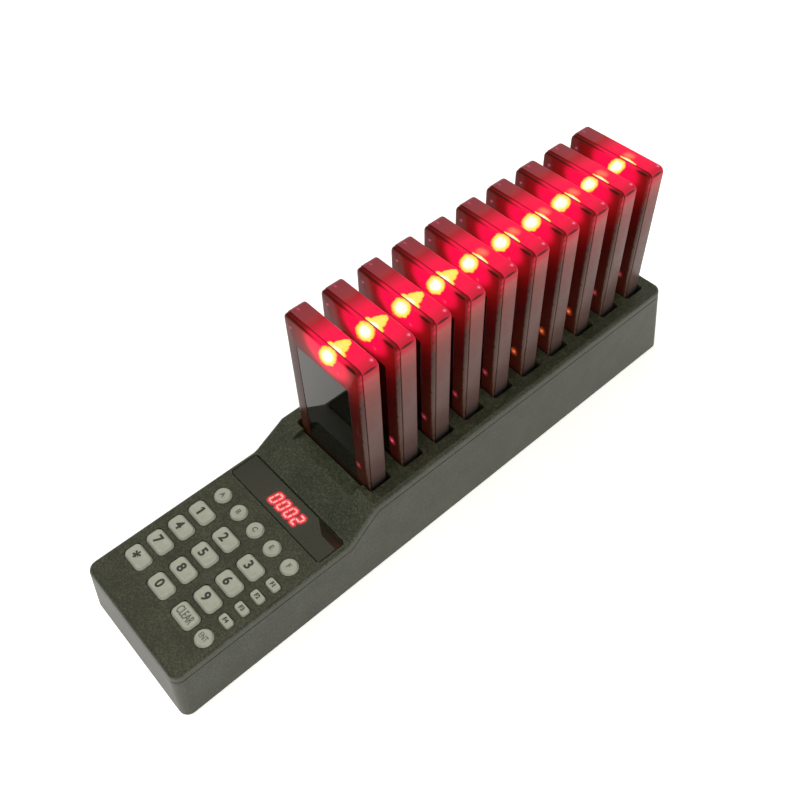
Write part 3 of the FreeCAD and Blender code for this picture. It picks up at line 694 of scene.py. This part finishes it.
def pager_rear_mesh():
    """The rear case: the seam's floor, a small lip, plain sides and a rolled back edge."""
    mesh_data = bmesh.new()
    profile = [(SEAM_STEP_MM + GROOVE_DEPTH_MM, FRONT_MM - GROOVE_MM)]
    profile += [(SEAM_STEP_MM + GROOVE_DEPTH_MM, FRONT_MM), (REAR_LIP_MM, FRONT_MM),
                (0.0, FRONT_MM + REAR_LIP_MM)]
    profile += rolled(0.0, PAGER_MM[1], BACK_EDGE_MM, -1)
    loft(mesh_data, [pager_ring(i, y) for i, y in profile])
    return mesh_data


def film_mesh():
    """The film on the floor of the label's recess, its front edge bevelled."""
    mesh_data = bmesh.new()
    front = LABEL_RECESS_MM - FILM_MM
    loft(mesh_data, [label_ring(FILM_GAP_MM, LABEL_RECESS_MM, FILM_CORNER_MM),
                     label_ring(FILM_GAP_MM, front + FILM_BEVEL_MM, FILM_CORNER_MM),
                     label_ring(FILM_GAP_MM + FILM_BEVEL_MM, front, FILM_CORNER_MM)])
    return mesh_data


front_meshes = {
    kind: shade_seam(finish_mesh("pager_front_shell_" + kind, pager_front_mesh(), FRONT_SHELLS[kind]))
    for kind in LAMP_LOOKS}
rear_meshes = {
    kind: shade_seam(finish_mesh("pager_rear_case_" + kind, pager_rear_mesh(), REAR_CASES[kind]))
    for kind in REAR_CASES}
label_mesh = finish_mesh("pager_label_film", film_mesh(), FILM)
for number in range(1, PAGER_COUNT + 1):
    pager = "pager_%d" % number
    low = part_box(pager + "_rear")[0]
    place = (0.0, low.y - FRONT_MM * MM, low.z)
    front_mesh = front_meshes[LOOK_OF.get(number, "middle")]
    place_piece(pager + "_front_shell", front_mesh, pager, pager + "_front", place)
    rear_mesh = rear_meshes["near" if number <= LAST_NEAR_PAGER else "far"]
    place_piece(pager + "_rear_case", rear_mesh, pager, pager + "_rear", place)
    place_piece(pager + "_label_film", label_mesh, pager, None, place)


# Display window, a little smaller than its recess, which shows as a dark line along its long edges

WINDOW_GAP_MM = {"side": 0.15, "front": 0.3, "back": 0.55}
WINDOW_CORNER_MM = 1.2
WINDOW_EDGE_MM = 0.25


def window_sheet():
    """The smoked sheet over the display, its upper edge bevelled and its top flat."""
    low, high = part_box("display_window")
    low = low + Vector((WINDOW_GAP_MM["side"], WINDOW_GAP_MM["front"], 0.0)) * MM
    high = high - Vector((WINDOW_GAP_MM["side"], WINDOW_GAP_MM["back"], 0.0)) * MM
    middle, half = (low + high) / 2, (high - low) / 2
    edge = WINDOW_EDGE_MM * MM
    rings = []
    for inset, z in ((0.0, low.z), (0.0, high.z - edge), (edge, high.z)):
        ring = rounded_outline(half.x - inset, half.y - inset, WINDOW_CORNER_MM * MM - inset, CORNER_STEPS)
        rings.append([(x + middle.x, y + middle.y, z) for x, y in ring])
    sheet = bmesh.new()
    loft(sheet, rings)
    mesh = finish_mesh("window_sheet", sheet, ACRYLIC)
    place_piece("window_sheet", mesh, "station", "display_window")


window_sheet()


# Display: four digits of seven slanted light bars

DIGITS = "0002"
SEGMENTS_OF = {"0": "abcdef", "2": "abged"}
DIGIT_PITCH_MM = 6.1
DIGIT_WIDE_MM = 3.3
DIGIT_TALL_MM = 6.4
DIGIT_SLANT = math.tan(math.radians(10))
BAR_MM = 0.82
BAR_GAP_MM = 0.35
DISPLAY_CENTRE_MM = (1.1, -81.6)
BAR_LIFT_MM = 0.05
MODULE_GAP_MM = 0.28
module_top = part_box("display_window")[0].z - MODULE_GAP_MM * MM


def segment_line(letter):
    """The middle line of a segment in the digit's own box, before the slant."""
    w, h = DIGIT_WIDE_MM / 2, DIGIT_TALL_MM / 2
    lines = {"a": ((-w, h), (w, h)), "b": ((w, h), (w, 0)), "c": ((w, 0), (w, -h)),
             "d": ((w, -h), (-w, -h)), "e": ((-w, -h), (-w, 0)), "f": ((-w, 0), (-w, h)),
             "g": ((-w, 0), (w, 0))}
    return [Vector(p) for p in lines[letter]]


def slanted(p, column):
    """A point of a digit's own box, slanted and moved to the digit's column."""
    x = DISPLAY_CENTRE_MM[0] + (column - (len(DIGITS) - 1) / 2) * DIGIT_PITCH_MM
    return Vector((x + p.x + p.y * DIGIT_SLANT, DISPLAY_CENTRE_MM[1] + p.y))


def lit_lines():
    """The middle lines of all bars that are lit, each with its two ends drawn in."""
    lines = []
    for column, digit in enumerate(DIGITS):
        for letter in SEGMENTS_OF[digit]:
            start, end = segment_line(letter)
            along = (end - start).normalized() * (BAR_GAP_MM / 2 + BAR_MM / 2)
            lines.append((slanted(start + along, column), slanted(end - along, column)))
    return lines


def light_bars():
    """The lit bars, each a thin plate with pointed ends."""
    bars = bmesh.new()
    for start, end in lit_lines():
        along = (end - start).normalized()
        side = Vector((-along.y, along.x)) * BAR_MM / 2
        tip = along * BAR_MM / 2
        ring = [start - tip, start - side, end - side, end + tip, end + side, start + side]
        loft(bars, [[(p.x * MM, p.y * MM, module_top + lift * MM) for p in ring]
                    for lift in (0.0, BAR_LIFT_MM)])
    place_piece("display_digits", finish_mesh("display_digits", bars, SEGMENT), "station")


GLOW_STEP_MM = 0.25
GLOW_HALF_MM = (13.0, 4.9)
GLOW_REACH_MM = 1.0
GLOW_FALL = 1.2


def nearest(p, lines):
    """How far a point is from the nearest of the lines."""
    best = math.inf
    for start, end in lines:
        run = end - start
        share = max(0.0, min(1.0, (p - start).dot(run) / run.length_squared))
        best = min(best, (p - start - run * share).length)
    return best


def glow_plate():
    """The module's face as a fine grid that carries how near the lit bars are."""
    lines = lit_lines()
    count_x = round(2 * GLOW_HALF_MM[0] / GLOW_STEP_MM)
    count_y = round(2 * GLOW_HALF_MM[1] / GLOW_STEP_MM)
    points, glow = [], []
    for j in range(count_y + 1):
        for i in range(count_x + 1):
            p = Vector((DISPLAY_CENTRE_MM[0] - GLOW_HALF_MM[0] + i * GLOW_STEP_MM,
                        DISPLAY_CENTRE_MM[1] - GLOW_HALF_MM[1] + j * GLOW_STEP_MM))
            points.append((p.x * MM, p.y * MM, module_top))
            away = max(0.0, nearest(p, lines) - BAR_MM / 2)
            glow.append(math.exp(-(away / GLOW_REACH_MM) ** GLOW_FALL))
    row = count_x + 1
    faces = [(j * row + i, j * row + i + 1, (j + 1) * row + i + 1, (j + 1) * row + i)
             for j in range(count_y) for i in range(count_x)]
    mesh = bpy.data.meshes.new("display_face")
    mesh.from_pydata(points, [], faces)
    mesh.attributes.new("glow", "FLOAT", "POINT").data.foreach_set("value", glow)
    mesh.materials.append(DISPLAY_FACE)
    place_piece("display_face", mesh, "station")


light_bars()
glow_plate()


# Pieces that keep their CAD shape

def dress(node, material):
    """Gives a CAD node its finish."""
    for slot in frame["nodes"][node].material_slots:
        slot.material = material


FINISHES = {"base_tray": HOUSING, "top_cover": HOUSING, "keypad_mat": MAT_RUBBER,
            "circuit_boards": BOARD, "charge_pins": GOLD, "rubber_feet": FOOT_RUBBER,
            "housing_screws": ZINC}
for node_name, finish in FINISHES.items():
    dress(node_name, finish)
for number in range(1, PAGER_COUNT + 1):
    dress("pager_%d_works" % number, BOARD)


# Set: floor, world, lamps and camera, in metres

FLOOR_HALF = 3.0
FLOOR_LIFT = 0.44
MIRRORED_LIFT = 0.27
WALL = "#8c8a82"
PLAIN_STRENGTH = 0.75
# Each lamp's place, size and power in watts
LAMPS = {"key_lamp": ((-0.9, -0.25, 0.95), 0.4, 5.5), "side_lamp": ((0.95, -0.35, 0.75), 0.6, 6.0)}
LAMP_TARGET = (0.0, 0.0, 0.05)
CAMERA_PLACE = (0.240610, -0.204634, 0.441324)
CAMERA_TURN_DEGREES = (40.36354, 2.18157, 48.73068)
FOCAL_PX = 924.887
CENTRE_PX = (382.870, 382.083)
SENSOR_MM = 36.0
NEAREST_SEEN = 0.01


def seen_directly(tree):
    """1 for rays of the camera, of gloss and of glass, which show the pale background."""
    path = add(tree, "ShaderNodeLightPath")
    mirrored = add(tree, "ShaderNodeMath",
                   {0: path.outputs["Is Glossy Ray"], 1: path.outputs["Is Transmission Ray"]},
                   operation="MAXIMUM")
    return add(tree, "ShaderNodeMath", {0: path.outputs["Is Camera Ray"], 1: mirrored.outputs[0]},
               operation="MAXIMUM").outputs[0]


def floor():
    """A pale counter that shows as white to the camera and in reflections, with a soft shadow."""
    mesh = bpy.data.meshes.new("floor")
    corners = [(-1, -1), (1, -1), (1, 1), (-1, 1)]
    mesh.from_pydata([(x * FLOOR_HALF, y * FLOOR_HALF, 0) for x, y in corners], [], [(0, 1, 2, 3)])
    piece = bpy.data.objects.new("floor", mesh)
    bpy.context.scene.collection.objects.link(piece)
    material, tree, place = new_material("pale_counter")
    colour = mottle(tree, place, 60.0, 2.0, "#f3f2f0", "#f6f5f3")[1]
    path = add(tree, "ShaderNodeLightPath")
    lift = add(tree, "ShaderNodeMapRange", {"Value": path.outputs["Is Camera Ray"],
                                            "To Min": MIRRORED_LIFT, "To Max": FLOOR_LIFT})
    shown = add(tree, "ShaderNodeMath", {0: seen_directly(tree), 1: lift.outputs["Result"]},
                operation="MULTIPLY")
    surface(tree, {"Base Color": colour, "Roughness": 0.9, "Specular IOR Level": 0.0,
                   "Emission Color": linear("#fffaf4"), "Emission Strength": shown.outputs[0]})
    mesh.materials.append(material)


def world():
    """A white room whose walls are dimmer between the horizon and the warm ceiling."""
    made = bpy.data.worlds.new("studio")
    made.use_nodes = True
    tree = made.node_tree
    tree.nodes.clear()
    direction = add(tree, "ShaderNodeTexCoord").outputs["Generated"]
    height = add(tree, "ShaderNodeSeparateXYZ", {"Vector": direction}).outputs["Z"]
    room = add(tree, "ShaderNodeValToRGB", {"Fac": height},
               [(0.0, "#fffefa"), (0.20, "#fffefa"), (0.34, WALL), (0.74, WALL), (0.82, "#fffbe2"),
                (1.0, "#fffbe2")])
    shown = add(tree, "ShaderNodeBackground", {"Color": room.outputs["Color"], "Strength": 1.0})
    plain = add(tree, "ShaderNodeBackground", {"Color": linear("#f8f7f2"), "Strength": PLAIN_STRENGTH})
    both = add(tree, "ShaderNodeMixShader",
               {0: seen_directly(tree), 1: plain.outputs[0], 2: shown.outputs[0]})
    add(tree, "ShaderNodeOutputWorld", {"Surface": both.outputs[0]})
    bpy.context.scene.world = made


def lamp(name, place, size, power):
    """A round lamp that shines on the part and isn't mirrored in it."""
    light = bpy.data.lights.new(name, "AREA")
    light.shape = "DISK"
    light.size = size
    light.energy = power
    made = bpy.data.objects.new(name, light)
    bpy.context.scene.collection.objects.link(made)
    made.location = place
    made.rotation_euler = (Vector(LAMP_TARGET) - Vector(place)).to_track_quat("-Z", "Y").to_euler()
    made.visible_glossy = False


def camera():
    """The photograph's camera, from the fit of the housing, the keys and the pagers."""
    made = bpy.data.objects.new("camera", bpy.data.cameras.new("camera"))
    bpy.context.scene.collection.objects.link(made)
    made.data.sensor_width = SENSOR_MM
    made.data.lens = FOCAL_PX / IMAGE_SIDE * SENSOR_MM
    made.data.shift_x = (IMAGE_SIDE / 2 - CENTRE_PX[0]) / IMAGE_SIDE
    made.data.shift_y = (CENTRE_PX[1] - IMAGE_SIDE / 2) / IMAGE_SIDE
    made.data.clip_start = NEAREST_SEEN
    made.location = CAMERA_PLACE
    made.rotation_euler = [math.radians(turn) for turn in CAMERA_TURN_DEGREES]
    bpy.context.scene.camera = made


floor()
world()
for lamp_name, (lamp_place, lamp_size, lamp_power) in LAMPS.items():
    lamp(lamp_name, lamp_place, lamp_size, lamp_power)
camera()
bpy.context.scene.view_settings.view_transform = "Standard"
